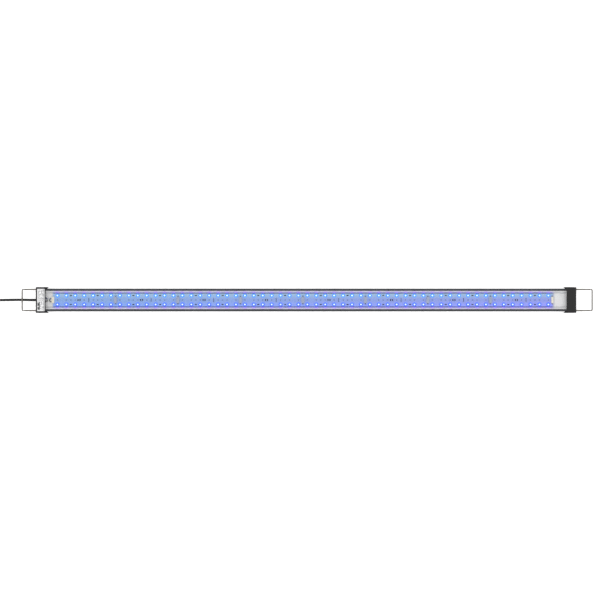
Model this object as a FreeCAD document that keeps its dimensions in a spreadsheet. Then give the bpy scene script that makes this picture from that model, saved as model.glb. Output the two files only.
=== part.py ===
import FreeCAD, Part
import math
import os
import re
import Sketcher
import PartDesign

# LED light bar for an aquarium. It lies on its back: +X runs along the bar, away from the
# supply cord, +Z is the side that shines, and z = 0 is the surface under the end caps.
# In use it is turned over, and its two wire brackets rest on the rims of the tank.
# Every size is in millimetres.

document = FreeCAD.newDocument("LedLightBar")
Vector = FreeCAD.Vector

# ---------------------------------------------------------------- driving dimensions
SIZES = {
    # Overall
    "body_length": 1140.0,          # outer face to outer face of the end caps
    "profile_width": 48.0,
    # Aluminium profile, from the back wall up
    "back_wall": 2.4,
    "chamber_height": 5.9,          # hollow behind the channel
    "web": 1.2,                     # floor of the channel
    "side_wall": 6.6,               # from the outside to the hollow chamber
    "lip_thickness": 1.0,           # lips that hold the cover down
    "rim_width": 4.6,
    "undercut": 0.5,                # channel below the lips is wider by this, each side
    "corner_round": 1.2,
    "fin_width": 1.6,
    "fin_depth": 1.2,
    "fin_pitch": 4.0,
    "port_radius": 2.3,
    "port_sink": 0.3,               # how deep a screw port is sunk in the side of the hollow
    # Slots in the sides of the profile, in which the bracket legs slide
    "slot_level": 4.2,              # middle of the slot above the back of the profile
    "slot_play": 0.2,               # above and below a leg in the mouth of the slot
    "slot_back": 0.6,               # behind a leg
    "slot_lip": 1.0,
    "slot_hold": 1.0,               # height of each lip in front of a slide shoe
    "leg_inset": 0.1,               # legs inside the width of the profile
    # Reflector tray
    "tray_thickness": 0.5,
    "tray_side": 3.0,               # width of each slanted side
    "tray_flange": 2.9,
    "tray_play": 0.1,
    "tray_lap": 0.35,               # underside of the fold beyond the edge above it
    # Clear cover and its seals
    "cover_thickness": 1.8,
    "cover_bite": 1.2,              # how far the cover goes under each lip
    "cover_play": 0.1,
    "cover_gap": 0.7,               # above the connectors
    "seal_thickness": 0.6,
    "seal_width": 1.0,
    # Boards and what is on them
    "board_thickness": 1.2,
    "board_side_gap": 0.2,
    "board_joint": 0.3,
    "board_start": 35.3,            # from the left end of the bar to the first board
    "board_end": 48.54,              # from the last board to the right end of the bar
    "tape_thickness": 0.2,
    "tape_margin": 1.5,
    "led_size": 5.0,
    "led_height": 1.3,
    "led_lens_radius": 2.0,
    "led_lens_height": 0.3,
    "led_inset": 4.225,             # middle of a row of LEDs from the edge of the board
    "driver_length": 3.8,
    "driver_width": 1.8,
    "driver_height": 1.2,
    "driver_spacing": 4.2,
    "driver_offset": 1.5,
    "bridge_length": 8.5,
    "bridge_width": 1.2,
    "resistor_length": 2.4,
    "resistor_width": 1.3,
    "resistor_height": 0.6,
    "connector_height": 3.0,
    "link_length": 6.7,
    "link_width": 14.2,
    "link_round": 3.0,
    "last_length": 4.4,             # connector at the end of the last board
    "last_round": 2.0,
    "last_reach": 1.0,              # last connector beyond the end of the last board
    "tab_width": 2.4,
    "tab_length": 1.9,
    "tab_height": 0.8,
    "tab_root": 0.1,                # part of a tab inside its connector
    "header_width": 13.5,
    "header_reach": 0.7,            # header beyond the edge of the first board
    "header_length": 3.4,
    "plug_depth": 2.3,
    "plug_step": 0.6,               # plug narrower than its header, each side
    "plug_drop": 0.3,               # plug lower than its header
    # End caps
    "cap_length": 20.8,
    "cap_end_wall": 3.0,
    "cap_side_wall": 3.2,
    "cap_face_wall": 1.4,
    "cap_fit": 0.1,                 # all round between the profile and the cap
    "cap_overlap": 9.8,             # profile inside the cap
    "cap_round": 2.6,
    "cap_bevel": 1.8,
    "cap_inner_bevel": 0.9,
    "ear_length": 3.5,              # pointed side walls beyond the face
    "ear_tip": 0.3,
    "wiring_inset": 3.9,            # side of the wiring space from the middle of a screw
    "gasket_thickness": 1.5,
    "hole_play": 0.2,               # round screws and legs, in radius
    # Screws of the end caps
    "screw_radius": 1.45,
    "screw_head_radius": 2.8,
    "screw_length": 18.0,
    "recess_width": 0.8,
    "recess_length": 3.0,
    "recess_depth": 0.9,
    "screw_play": 0.05,
    # Wire brackets, their guides and their slide shoes
    "wire_radius": 1.5,
    "leg_length": 130.0,            # from the crossbar to the inner end of a leg
    "bracket_rise": 20.0,
    "bracket_bend": 4.5,
    "bracket_corner": 5.0,
    "reach_left": 27.5,             # crossbar beyond the end of the bar
    "reach_right": 32.0,
    "bush_wall": 0.85,
    "bush_play": 0.15,
    "bush_seat": 1.0,               # cap wall left in front of a bush
    "shoe_length": 14.0,
    "shoe_play": 0.15,
    # Rating label on the left cap
    "label_length": 16.0,
    "label_inset": 0.5,             # each end of the label inside the width of the profile
    "label_thickness": 0.15,
    "label_edge": 3.2,              # from the outer end of the cap
    # Supply cord
    "cord_radius": 2.5,
    "grommet_radius": 4.0,
    "grommet_flange": 5.2,
    "grommet_flange_thickness": 1.2,
    "collar_radius": 4.4,
    "collar_length": 2.3,
    "lead_radius": 0.9,
    "sheath_end": 6.5,              # inside the cap, from its outer face
    "lead_level": 14.4,
    "lead_tie_place": 26.5,         # from the left end of the bar
    "lead_tie_width": 2.4,
    "lead_tie_wall": 0.75,
    "lead_tie_play": 0.25,
    # Coil of spare cord and its tie
    "coil_outer": 40.4,
    "coil_inner": 19.9,
    "coil_base": 0.8,
    "coil_height": 10.2,
    "coil_round": 2.5,
    "tie_width": 8.0,
    "tie_thickness": 0.8,
    # Low-voltage plug
    "plug_radius": 4.6,
    "plug_length": 22.0,
    "plug_neck": 3.4,
    "plug_shoulder": 4.0,
    "relief_length": 10.0,
    "relief_radius": 2.8,
    "barrel_radius": 2.75,
    "barrel_wall": 0.55,
    "barrel_length": 9.5,
    "plug_bore": 1.05,
    "insulator_set_back": 0.3,
}
BOARDS = 8
LEDS_IN_A_ROW = 7
COOLING_GROOVES = 9

sheet = document.addObject("Spreadsheet::Sheet", "Sizes")
for row, (alias, size) in enumerate(SIZES.items(), start=1):
    sheet.set(f"A{row}", alias)
    sheet.set(f"B{row}", str(size))
    sheet.setAlias(f"B{row}", alias)
document.recompute()


def cells(text):
    """The expression with each size's name written as its cell in the sheet."""
    return re.sub(r"[a-z_]+", lambda name: f"Sizes.{name.group()}", text)


def number(text):
    """The value of an expression over the sheet's sizes."""
    return float(sheet.evalExpression(cells(text)))


# Levels above the floor, each built on the one below it
BACK = "(cap_face_wall + cap_fit)"
CHAMBER = f"({BACK} + back_wall)"
CHAMBER_TOP = f"({CHAMBER} + chamber_height)"
CHANNEL = f"({CHAMBER_TOP} + web)"
TRAY_TOP = f"({CHANNEL} + tray_thickness)"
BOARD = f"({TRAY_TOP} + tape_thickness)"
BOARD_TOP = f"({BOARD} + board_thickness)"
CONNECTOR_TOP = f"({BOARD_TOP} + connector_height)"
COVER = f"({CONNECTOR_TOP} + cover_gap)"
LEDGE = f"({COVER} - seal_thickness)"
COVER_TOP = f"({COVER} + cover_thickness)"
LIP = f"({COVER_TOP} + cover_play)"
TOP = f"({LIP} + lip_thickness)"
CAP_TOP = f"({TOP} + cap_fit + cap_face_wall)"
SLOT = f"({BACK} + slot_level)"
PORT = f"({CHAMBER} + port_radius)"
CORD_LEVEL = f"({CAP_TOP} / 2)"

# Places along the bar
END = "(body_length / 2)"
PROFILE_END = f"({END} - cap_length + cap_overlap)"
PROFILE_LENGTH = f"(2 * {PROFILE_END})"
FIRST_BOARD = f"(board_start - {END})"
LED_PITCH = f"((body_length - board_start - board_end) / {BOARDS * LEDS_IN_A_ROW})"
BOARD_PITCH = f"({LEDS_IN_A_ROW} * {LED_PITCH})"

# Half widths
SIDE = "(profile_width / 2)"
LIP_SIDE = f"({SIDE} - rim_width)"
CHANNEL_SIDE = f"({LIP_SIDE} + undercut)"
COVER_SIDE = f"({LIP_SIDE} + cover_bite)"
FLANGE_SIDE = f"({CHANNEL_SIDE} - tray_play)"
FOLD_SIDE = f"({FLANGE_SIDE} - tray_flange)"
FLOOR_SIDE = f"({FOLD_SIDE} - tray_side)"
BOARD_SIDE = f"({FLOOR_SIDE} - board_side_gap)"
LED_ROW = f"({BOARD_SIDE} - led_inset)"
CHAMBER_SIDE = f"({SIDE} - side_wall)"
PORT_SIDE = f"({CHAMBER_SIDE} - port_radius + port_sink)"
WIRING_SIDE = f"({PORT_SIDE} - wiring_inset)"
LEG_SIDE = f"({SIDE} - leg_inset - wire_radius)"
SLOT_SIDE = f"({LEG_SIDE} - wire_radius - slot_back)"
LABEL_SIDE = f"({SIDE} - label_inset)"
CAP_SIDE = f"({SIDE} + cap_fit + cap_side_wall)"

# Half heights of the slots in the sides
MOUTH = "(wire_radius + slot_play)"
SLOT_ROOM = f"({MOUTH} + slot_hold)"


# ---------------------------------------------------------------- building blocks
def new_body(label):
    """An empty body; its label is the name of the piece."""
    body = document.addObject("PartDesign::Body", label)
    body.Label = label
    return body


def place(body, x="0", y="0", z="0", turn=None):
    """Put a body where three expressions say, turned about +Z by a number of degrees."""
    if turn is not None:
        body.Placement.Rotation = FreeCAD.Rotation(Vector(0, 0, 1), turn)
    for axis, text in zip("xyz", (x, y, z)):
        body.setExpression(f"Placement.Base.{axis}", cells(text))


def new_sketch(body, name, plane, level="0"):
    """A sketch on one of the body's own planes, at a level along that plane's normal."""
    sketch = body.newObject("Sketcher::SketchObject", f"{body.Name}_{name}")
    origin_plane = next(item for item in body.Origin.OriginFeatures if item.Role == plane)
    sketch.AttachmentSupport = (origin_plane, [""])
    sketch.MapMode = "FlatFace"
    sketch.setExpression("AttachmentOffset.Base.z", cells(level))
    return sketch


def dimension(sketch, kind, arguments, text):
    """One driving dimension of a sketch, bound to the sheet."""
    index = sketch.addConstraint(Sketcher.Constraint(kind, *arguments, number(text)))
    sketch.setExpression(f"Constraints[{index}]", cells(text))


def outline(sketch, corners):
    """A closed outline; each corner is a pair of expressions, measured from the origin."""
    first = sketch.GeometryCount
    points = [Vector(number(across), number(up), 0) for across, up in corners]
    following = points[1:] + points[:1]
    for start, end in zip(points, following):
        sketch.addGeometry(Part.LineSegment(start, end), False)
    for index, (across, up) in enumerate(corners):
        after = first + (index + 1) % len(corners)
        sketch.addConstraint(Sketcher.Constraint("Coincident", first + index, 2, after, 1))
        dimension(sketch, "DistanceX", (first + index, 1), across)
        dimension(sketch, "DistanceY", (first + index, 1), up)


def rectangle(sketch, left, low, right, high):
    """A rectangle between two corners."""
    outline(sketch, [(left, low), (right, low), (right, high), (left, high)])


def centred_rectangle(sketch, across, up, width, height):
    """A rectangle about its middle."""
    rectangle(sketch, f"{across} - ({width}) / 2", f"{up} - ({height}) / 2",
              f"{across} + ({width}) / 2", f"{up} + ({height}) / 2")


def circle(sketch, across, up, radius):
    """A circle about a point given by two expressions."""
    centre = Vector(number(across), number(up), 0)
    index = sketch.addGeometry(Part.Circle(centre, Vector(0, 0, 1), number(radius)), False)
    dimension(sketch, "DistanceX", (index, 3), across)
    dimension(sketch, "DistanceY", (index, 3), up)
    dimension(sketch, "Radius", (index,), radius)


def pad(body, sketch, length, both_ways=False):
    """Material over the sketch, along its normal or half to each side."""
    feature = body.newObject("PartDesign::Pad", f"{sketch.Name}_pad")
    feature.Profile = sketch
    feature.setExpression("Length", cells(length))
    if both_ways:
        feature.SideType = "Symmetric"
    document.recompute()
    return feature


def pocket(body, sketch, length, reverse=False, both_ways=False):
    """Material taken away; a pocket that cuts nothing stops the build."""
    before = body.Shape.Volume
    feature = body.newObject("PartDesign::Pocket", f"{sketch.Name}_pocket")
    feature.Profile = sketch
    feature.Reversed = reverse
    feature.setExpression("Length", cells(length))
    if both_ways:
        feature.SideType = "Symmetric"
    document.recompute()
    if not body.Shape.Volume < before - 1e-3:
        raise RuntimeError(f"{feature.Name} cuts nothing")
    return feature


def revolve(body, sketch):
    """The sketch turned once about the body's X axis."""
    feature = body.newObject("PartDesign::Revolution", f"{sketch.Name}_turned")
    feature.Profile = sketch
    axis = next(item for item in body.Origin.OriginFeatures if item.Role == "X_Axis")
    feature.ReferenceAxis = (axis, [""])
    feature.Angle = 360
    document.recompute()
    return feature


def turned_piece(label, corners):
    """A body turned about its own X axis from pairs of (along, radius)."""
    body = new_body(label)
    sketch = new_sketch(body, "half", "XY_Plane")
    outline(sketch, corners)
    revolve(body, sketch)
    return body


def mirror(body, features):
    """The features repeated on the other side of the body's XZ plane."""
    feature = body.newObject("PartDesign::Mirrored", f"{body.Name}_mirrored")
    feature.Originals = features
    plane = next(item for item in body.Origin.OriginFeatures if item.Role == "XZ_Plane")
    feature.MirrorPlane = (plane, [""])
    body.Tip = feature
    document.recompute()
    return feature


def repeat(body, features, axis_role, spacing, count):
    """The features repeated along one of the body's axes."""
    feature = body.newObject("PartDesign::LinearPattern", f"{body.Name}_{axis_role[0]}_row")
    feature.Originals = features
    axis = next(item for item in body.Origin.OriginFeatures if item.Role == axis_role)
    feature.Direction = (axis, [""])
    feature.Mode = "Spacing"
    feature.Occurrences = count
    feature.setExpression("Offset", cells(spacing))
    body.Tip = feature
    document.recompute()
    return feature


def edge_feature(body, kind, name, size, chosen):
    """A fillet or chamfer of one size on the edges of the body that a test picks."""
    before = body.Shape.Volume
    base = body.Tip
    names = [f"Edge{index}" for index, edge in enumerate(base.Shape.Edges, start=1)
             if chosen(edge)]
    if not names:
        raise RuntimeError(f"{body.Name} has no edge for its {name}")
    feature = body.newObject(f"PartDesign::{kind}", f"{body.Name}_{name}")
    feature.Base = (base, names)
    feature.setExpression("Radius" if kind == "Fillet" else "Size", cells(size))
    document.recompute()
    if not body.Shape.Volume < before - 1e-4:
        raise RuntimeError(f"{feature.Name} takes nothing away")
    return feature


def along(edge, axis):
    """Whether a straight edge runs along an axis ("x", "y" or "z")."""
    if not isinstance(edge.Curve, Part.Line):
        return False
    return abs(getattr(edge.Curve.Direction, axis)) > 0.999


def near(value, target):
    """Equal within a hundredth of a millimetre."""
    return abs(value - target) < 0.01


def plate(label, left, low, right, high, bottom, thickness):
    """A flat rectangular piece, its corners in X and Y, standing on a level."""
    body = new_body(label)
    sketch = new_sketch(body, "plan", "XY_Plane", bottom)
    rectangle(sketch, left, low, right, high)
    pad(body, sketch, thickness)
    return body


def both_sides(half):
    """A cross-section from its right half, given from the middle of the back to the top."""
    return half + [(f"-{across}", up) for across, up in reversed(half)]


# ---------------------------------------------------------------- round pieces along a path
def tube(label, points, radii, radius):
    """A round wire or cord: straight runs joined by tangent arcs, one radius per inner point."""
    edges = []
    start = points[0]
    for before, corner, after, bend in zip(points, points[1:], points[2:], radii):
        back = (before - corner).normalize()
        ahead = (after - corner).normalize()
        reach = bend / math.tan(back.getAngle(ahead) / 2)
        to_middle = math.hypot(bend, reach) - bend
        entry = corner + back * reach
        leave = corner + ahead * reach
        middle = corner + (back + ahead).normalize() * to_middle
        edges.append(Part.LineSegment(start, entry).toShape())
        edges.append(Part.Arc(entry, middle, leave).toShape())
        start = leave
    edges.append(Part.LineSegment(start, points[-1]).toShape())
    path = Part.Wire(edges)
    direction = (points[1] - points[0]).normalize()
    section = Part.Wire(Part.Circle(points[0], direction, radius).toShape())
    piece = document.addObject("Part::Feature", label)
    piece.Label = label
    piece.Shape = path.makePipeShell([section], True, True)
    expected = math.pi * radius ** 2 * path.Length
    if abs(piece.Shape.Volume - expected) > 0.01 * expected:
        raise RuntimeError(f"{label} has the wrong volume")
    return piece


def free_radii(points):
    """For a cord: the largest arc that the two runs at each inner point leave room for."""
    radii = []
    for before, corner, after in zip(points, points[1:], points[2:]):
        back = before - corner
        ahead = after - corner
        half_turn = (math.pi - back.getAngle(ahead)) / 2
        radii.append(0.45 * min(back.Length, ahead.Length) / math.tan(half_turn))
    return radii


# ---------------------------------------------------------------- aluminium profile
def housing_profile():
    """Extruded profile: open channel for the boards, hollow back, slots for the legs."""
    body = new_body("housing_profile")
    section = new_sketch(body, "section", "YZ_Plane")
    slot_low = f"{SLOT} - {SLOT_ROOM}"
    slot_high = f"{SLOT} + {SLOT_ROOM}"
    mouth_low = f"{SLOT} - {MOUTH}"
    mouth_high = f"{SLOT} + {MOUTH}"
    behind_lip = f"({SIDE} - slot_lip)"
    groove_side = f"({COVER_SIDE} + 2 * cover_play)"
    outline(section, both_sides([
        (SIDE, BACK),
        (SIDE, mouth_low), (behind_lip, mouth_low), (behind_lip, slot_low),
        (SLOT_SIDE, slot_low), (SLOT_SIDE, slot_high),
        (behind_lip, slot_high), (behind_lip, mouth_high), (SIDE, mouth_high),
        (SIDE, TOP), (LIP_SIDE, TOP),
        (LIP_SIDE, LIP), (groove_side, LIP),
        (groove_side, LEDGE), (CHANNEL_SIDE, LEDGE),
        (CHANNEL_SIDE, CHANNEL),
    ]))
    pad(body, section, PROFILE_LENGTH, both_ways=True)

    chamber = new_sketch(body, "chamber", "YZ_Plane")
    rectangle(chamber, f"-{CHAMBER_SIDE}", CHAMBER, CHAMBER_SIDE, CHAMBER_TOP)
    pocket(body, chamber, PROFILE_LENGTH, both_ways=True)

    # Each screw port is a tube that stands on a short web.
    port = new_sketch(body, "port", "YZ_Plane")
    circle(port, PORT_SIDE, PORT, "port_radius")
    port_tube = pad(body, port, PROFILE_LENGTH, both_ways=True)
    foot = new_sketch(body, "port_foot", "YZ_Plane")
    rectangle(foot, f"{PORT_SIDE} - port_radius / 2", f"{CHAMBER} - back_wall / 4",
              f"{PORT_SIDE} + port_radius / 2", PORT)
    port_foot = pad(body, foot, PROFILE_LENGTH, both_ways=True)
    bore = new_sketch(body, "port_bore", "YZ_Plane")
    circle(bore, PORT_SIDE, PORT, "screw_radius + screw_play")
    port_bore = pocket(body, bore, PROFILE_LENGTH, both_ways=True)
    mirror(body, [port_tube, port_foot, port_bore])

    # Shallow cooling grooves along the back.
    fin = new_sketch(body, "cooling_groove", "YZ_Plane")
    first_groove = f"-{COOLING_GROOVES // 2} * fin_pitch"
    centred_rectangle(fin, first_groove, BACK, "fin_width", "2 * fin_depth")
    groove = pocket(body, fin, PROFILE_LENGTH, both_ways=True)
    repeat(body, [groove], "Y_Axis", "fin_pitch", COOLING_GROOVES)

    side = number(SIDE)
    levels = (number(BACK), number(TOP))
    edge_feature(body, "Fillet", "shoulders", "corner_round",
                 lambda edge: along(edge, "x") and near(abs(edge.Vertexes[0].Y), side)
                 and any(near(edge.Vertexes[0].Z, level) for level in levels))


# ---------------------------------------------------------------- tray, cover and seals
def reflector_tray():
    """Folded white sheet: flat floor, slanted sides, flanges under the cover seals."""
    body = new_body("reflector_tray")
    section = new_sketch(body, "section", "YZ_Plane")
    outline(section, both_sides([
        (f"({FLOOR_SIDE} + tray_thickness / 2)", CHANNEL),
        (f"({FOLD_SIDE} + tray_lap)", f"{LEDGE} - tray_thickness"),
        (FLANGE_SIDE, f"{LEDGE} - tray_thickness"),
        (FLANGE_SIDE, LEDGE),
        (FOLD_SIDE, LEDGE),
        (FLOOR_SIDE, TRAY_TOP),
    ]))
    pad(body, section, f"{PROFILE_LENGTH} - 2 * tray_play", both_ways=True)


def clear_cover():
    """Flat clear strip that slides in under the lips of the profile."""
    body = new_body("clear_cover")
    section = new_sketch(body, "section", "YZ_Plane")
    rectangle(section, f"-{COVER_SIDE}", COVER, COVER_SIDE, COVER_TOP)
    pad(body, section, f"{PROFILE_LENGTH} - 2 * cover_play", both_ways=True)


def cover_seals():
    """Two soft strips between the cover and the ledges of the profile."""
    body = new_body("cover_seals")
    section = new_sketch(body, "section", "YZ_Plane")
    rectangle(section, f"{COVER_SIDE} - seal_width", LEDGE, COVER_SIDE, COVER)
    strip = pad(body, section, f"{PROFILE_LENGTH} - 2 * cover_play", both_ways=True)
    mirror(body, [strip])


# ---------------------------------------------------------------- ends of the bar
# The pieces at an end are drawn with x = 0 at the face of the profile and +X outwards.
LEDGE_X = "gasket_thickness"
CAP_FACE_X = "(cap_length - cap_overlap)"
WALL_X = f"({CAP_FACE_X} - cap_end_wall)"
ENDS = {"left": 180, "right": 0}


def place_end(body, side):
    """Put a piece that was drawn for the right end at one of the two ends."""
    sign = "-" if side == "left" else ""
    place(body, x=f"{sign}{PROFILE_END}", turn=ENDS[side])


def end_gasket(side):
    """Soft sheet between the profile and the cap, open for leads, screws and legs."""
    body = new_body(f"end_gasket_{side}")
    sheet_outline = new_sketch(body, "sheet", "YZ_Plane")
    rectangle(sheet_outline, f"-{SIDE}", BACK, SIDE, TOP)
    pad(body, sheet_outline, "gasket_thickness")
    window = new_sketch(body, "window", "YZ_Plane")
    rectangle(window, f"-{WIRING_SIDE}", CHANNEL, WIRING_SIDE, COVER)
    pocket(body, window, "gasket_thickness", reverse=True)
    hole = new_sketch(body, "holes", "YZ_Plane")
    circle(hole, PORT_SIDE, PORT, "screw_radius + hole_play")
    circle(hole, LEG_SIDE, SLOT, "wire_radius + hole_play")
    holes = pocket(body, hole, "gasket_thickness", reverse=True)
    mirror(body, [holes])
    place_end(body, side)


def end_cap(side):
    """Moulded cap over the end of the profile, with a wiring space behind its end wall."""
    body = new_body(f"end_cap_{side}")
    block = new_sketch(body, "block", "YZ_Plane", "-cap_overlap")
    rectangle(block, f"-{CAP_SIDE}", "0", CAP_SIDE, CAP_TOP)
    pad(body, block, "cap_length")
    edge_feature(body, "Fillet", "long_edges", "cap_round", lambda edge: along(edge, "x"))

    # The outer end is bevelled along the face and along the back.
    bevels = new_sketch(body, "end_bevels", "XZ_Plane")
    bevel_start = f"({CAP_FACE_X} - cap_bevel)"
    outline(bevels, [(bevel_start, CAP_TOP), (CAP_FACE_X, f"{CAP_TOP} - cap_bevel"),
                     (CAP_FACE_X, CAP_TOP)])
    outline(bevels, [(bevel_start, "0"), (CAP_FACE_X, "0"), (CAP_FACE_X, "cap_bevel")])
    pocket(body, bevels, f"2 * {CAP_SIDE}", both_ways=True)

    # The side walls run on past the face as pointed ears, between the rounded edges.
    ears = new_sketch(body, "ears", "XY_Plane", "cap_round")
    inside = f"({SIDE} + cap_fit)"
    outline(ears, [("-cap_overlap", inside), ("-cap_overlap", CAP_SIDE),
                   ("-cap_overlap - ear_length", CAP_SIDE),
                   ("-cap_overlap - ear_length", f"{CAP_SIDE} - ear_tip")])
    ear = pad(body, ears, f"{CAP_TOP} - 2 * cap_round")
    mirror(body, [ear])

    mouth = new_sketch(body, "mouth", "YZ_Plane", "-cap_overlap")
    rectangle(mouth, f"-{inside}", "cap_face_wall", inside, f"{TOP} + cap_fit")
    pocket(body, mouth, f"cap_overlap + {LEDGE_X}", reverse=True)
    mouth_x = -number("cap_overlap")
    inner_levels = (number("cap_face_wall"), number(f"{TOP} + cap_fit"))
    edge_feature(body, "Chamfer", "mouth_bevel", "cap_inner_bevel",
                 lambda edge: along(edge, "y") and near(edge.Vertexes[0].X, mouth_x)
                 and any(near(edge.Vertexes[0].Z, level) for level in inner_levels))
    wiring = new_sketch(body, "wiring_space", "YZ_Plane", LEDGE_X)
    rectangle(wiring, f"-{WIRING_SIDE}", CHAMBER, WIRING_SIDE, COVER)
    pocket(body, wiring, f"{WALL_X} - {LEDGE_X}", reverse=True)

    # Screw and leg holes, cut on one side and mirrored.
    screw = new_sketch(body, "screw_hole", "YZ_Plane")
    circle(screw, PORT_SIDE, PORT, "screw_radius + hole_play")
    screw_hole = pocket(body, screw, CAP_FACE_X, reverse=True)
    seat = new_sketch(body, "bush_seat", "YZ_Plane")
    circle(seat, LEG_SIDE, SLOT, "wire_radius + bush_play + bush_wall")
    bush_seat = pocket(body, seat, f"{CAP_FACE_X} - bush_seat", reverse=True)
    leg = new_sketch(body, "leg_hole", "YZ_Plane")
    circle(leg, LEG_SIDE, SLOT, "wire_radius + 2 * bush_play")
    leg_hole = pocket(body, leg, CAP_FACE_X, reverse=True)
    mirror(body, [screw_hole, bush_seat, leg_hole])
    face = number(CAP_FACE_X)
    hole_width = number("2 * (screw_radius + hole_play)")
    edge_feature(body, "Chamfer", "countersinks",
                 "screw_head_radius - screw_radius - hole_play + screw_play",
                 lambda edge: near(edge.BoundBox.XMin, face) and near(edge.BoundBox.XMax, face)
                 and near(edge.BoundBox.YLength, hole_width))
    if side == "left":
        cord = new_sketch(body, "cord_hole", "YZ_Plane")
        circle(cord, "0", CORD_LEVEL, "grommet_radius")
        pocket(body, cord, CAP_FACE_X, reverse=True)
    place_end(body, side)


def cap_screws(side):
    """Two countersunk screws through the cap into the screw ports."""
    body = new_body(f"cap_screws_{side}")
    half = new_sketch(body, "half", "XY_Plane", PORT)
    outline(half, [
        (CAP_FACE_X, PORT_SIDE),
        (CAP_FACE_X, f"{PORT_SIDE} + screw_head_radius"),
        (f"{CAP_FACE_X} - screw_head_radius + screw_radius", f"{PORT_SIDE} + screw_radius"),
        (f"{CAP_FACE_X} - screw_length + screw_radius", f"{PORT_SIDE} + screw_radius"),
        (f"{CAP_FACE_X} - screw_length", f"{PORT_SIDE} + screw_radius / 3"),
        (f"{CAP_FACE_X} - screw_length", PORT_SIDE),
    ])
    shank = body.newObject("PartDesign::Revolution", f"{body.Name}_shank")
    shank.Profile = half
    shank.ReferenceAxis = (half, ["Edge6"])
    shank.Angle = 360
    document.recompute()
    features = [shank]
    for name, width, height in (("flat", "recess_length", "recess_width"),
                                ("upright", "recess_width", "recess_length")):
        slot = new_sketch(body, f"recess_{name}", "YZ_Plane", CAP_FACE_X)
        centred_rectangle(slot, PORT_SIDE, PORT, width, height)
        features.append(pocket(body, slot, "recess_depth"))
    mirror(body, features)
    place_end(body, side)


def guide_bushes(side):
    """Two plain bushes in the cap, in which the legs of the bracket slide."""
    body = new_body(f"guide_bushes_{side}")
    ring = new_sketch(body, "ring", "YZ_Plane", LEDGE_X)
    circle(ring, LEG_SIDE, SLOT, "wire_radius + bush_play + bush_wall")
    circle(ring, LEG_SIDE, SLOT, "wire_radius + bush_play")
    bush = pad(body, ring, f"{CAP_FACE_X} - bush_seat - {LEDGE_X}")
    mirror(body, [bush])
    place_end(body, side)


# ---------------------------------------------------------------- wire brackets
def bracket(side, reach):
    """Bent wire: two legs in the slots of the profile, risers and a crossbar."""
    sign = -1 if side == "left" else 1
    across = number(LEG_SIDE)
    low = number(SLOT)
    high = low + number("bracket_rise")
    outer = sign * number(f"{END} + {reach}")
    inner = sign * number(f"{END} + {reach} - leg_length")
    points = [
        Vector(inner, -across, low), Vector(outer, -across, low), Vector(outer, -across, high),
        Vector(outer, across, high), Vector(outer, across, low), Vector(inner, across, low),
    ]
    bend = number("bracket_bend")
    corner = number("bracket_corner")
    return tube(f"bracket_{side}", points, [bend, corner, corner, bend], number("wire_radius"))


def slide_shoes(side, reach):
    """Two blocks clipped on the ends of the legs; they guide them and hold them in."""
    body = new_body(f"slide_shoes_{side}")
    inner_end = f"({END} + {reach} - leg_length)"
    block = new_sketch(body, "block", "YZ_Plane", inner_end)
    half_height = f"{SLOT_ROOM} - shoe_play"
    rectangle(block, f"{SLOT_SIDE} + shoe_play", f"{SLOT} - ({half_height})",
              f"{SIDE} - slot_lip - shoe_play / 3", f"{SLOT} + {half_height}")
    shoe = pad(body, block, "shoe_length")
    groove = new_sketch(body, "wire_groove", "YZ_Plane", inner_end)
    circle(groove, LEG_SIDE, SLOT, "wire_radius")
    wire_groove = pocket(body, groove, "shoe_length", reverse=True)
    mirror(body, [shoe, wire_groove])
    if side == "left":
        place(body, turn=180)


# ---------------------------------------------------------------- boards and what they carry
def board_left(number_in_row):
    """Left edge of a board, the first one being number 1."""
    return f"({FIRST_BOARD} + {number_in_row - 1} * {BOARD_PITCH})"


def led_board(index):
    """One aluminium-backed circuit board."""
    plate(f"led_board_{index}", f"{board_left(index)} + board_joint / 2", f"-{BOARD_SIDE}",
          f"{board_left(index + 1)} - board_joint / 2", BOARD_SIDE, BOARD, "board_thickness")


def led_chips(index):
    """Two rows of LED packages, each with a raised round lens."""
    body = new_body(f"led_chips_{index}")
    across = f"{LED_PITCH} / 2"
    row = f"-{LED_ROW}"
    package = new_sketch(body, "package", "XY_Plane", BOARD_TOP)
    centred_rectangle(package, across, row, "led_size", "led_size")
    lens = new_sketch(body, "lens", "XY_Plane", f"{BOARD_TOP} + led_height")
    circle(lens, across, row, "led_lens_radius")
    chip = [pad(body, package, "led_height"), pad(body, lens, "led_lens_height")]
    pattern = repeat(body, chip, "X_Axis", LED_PITCH, LEDS_IN_A_ROW)
    across_axis = next(item for item in body.Origin.OriginFeatures if item.Role == "Y_Axis")
    pattern.Direction2 = (across_axis, [""])
    pattern.Mode2 = "Spacing"
    pattern.Occurrences2 = 2
    pattern.setExpression("Offset2", cells(f"2 * {LED_ROW}"))
    place(body, x=board_left(index))


def board_components(index):
    """Driver chips, their resistors and a wire bridge on one board."""
    body = new_body(f"board_components_{index}")
    drivers = new_sketch(body, "drivers", "XY_Plane", BOARD_TOP)
    for gap in (2, 5):
        for row in (f"-{LED_ROW}", LED_ROW):
            centred_rectangle(drivers, f"{gap} * {LED_PITCH}", row,
                              "driver_length", "driver_width")
    for step in ("-driver_spacing / 2", "driver_spacing / 2"):
        centred_rectangle(drivers, f"3 * {LED_PITCH} - driver_offset + {step}", "0",
                          "driver_width", "driver_length")
    pad(body, drivers, "driver_height")
    small = new_sketch(body, "resistors", "XY_Plane", BOARD_TOP)
    for step in (0.5, 1.5, 2, 2.5, 3.5, 4.5, 5, 5.5, 6.5):
        centred_rectangle(small, f"{step} * {LED_PITCH}", "0", "resistor_length", "resistor_width")
    centred_rectangle(small, f"4 * {LED_PITCH}", "0", "bridge_width", "bridge_length")
    pad(body, small, "resistor_height")
    place(body, x=board_left(index))


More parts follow.
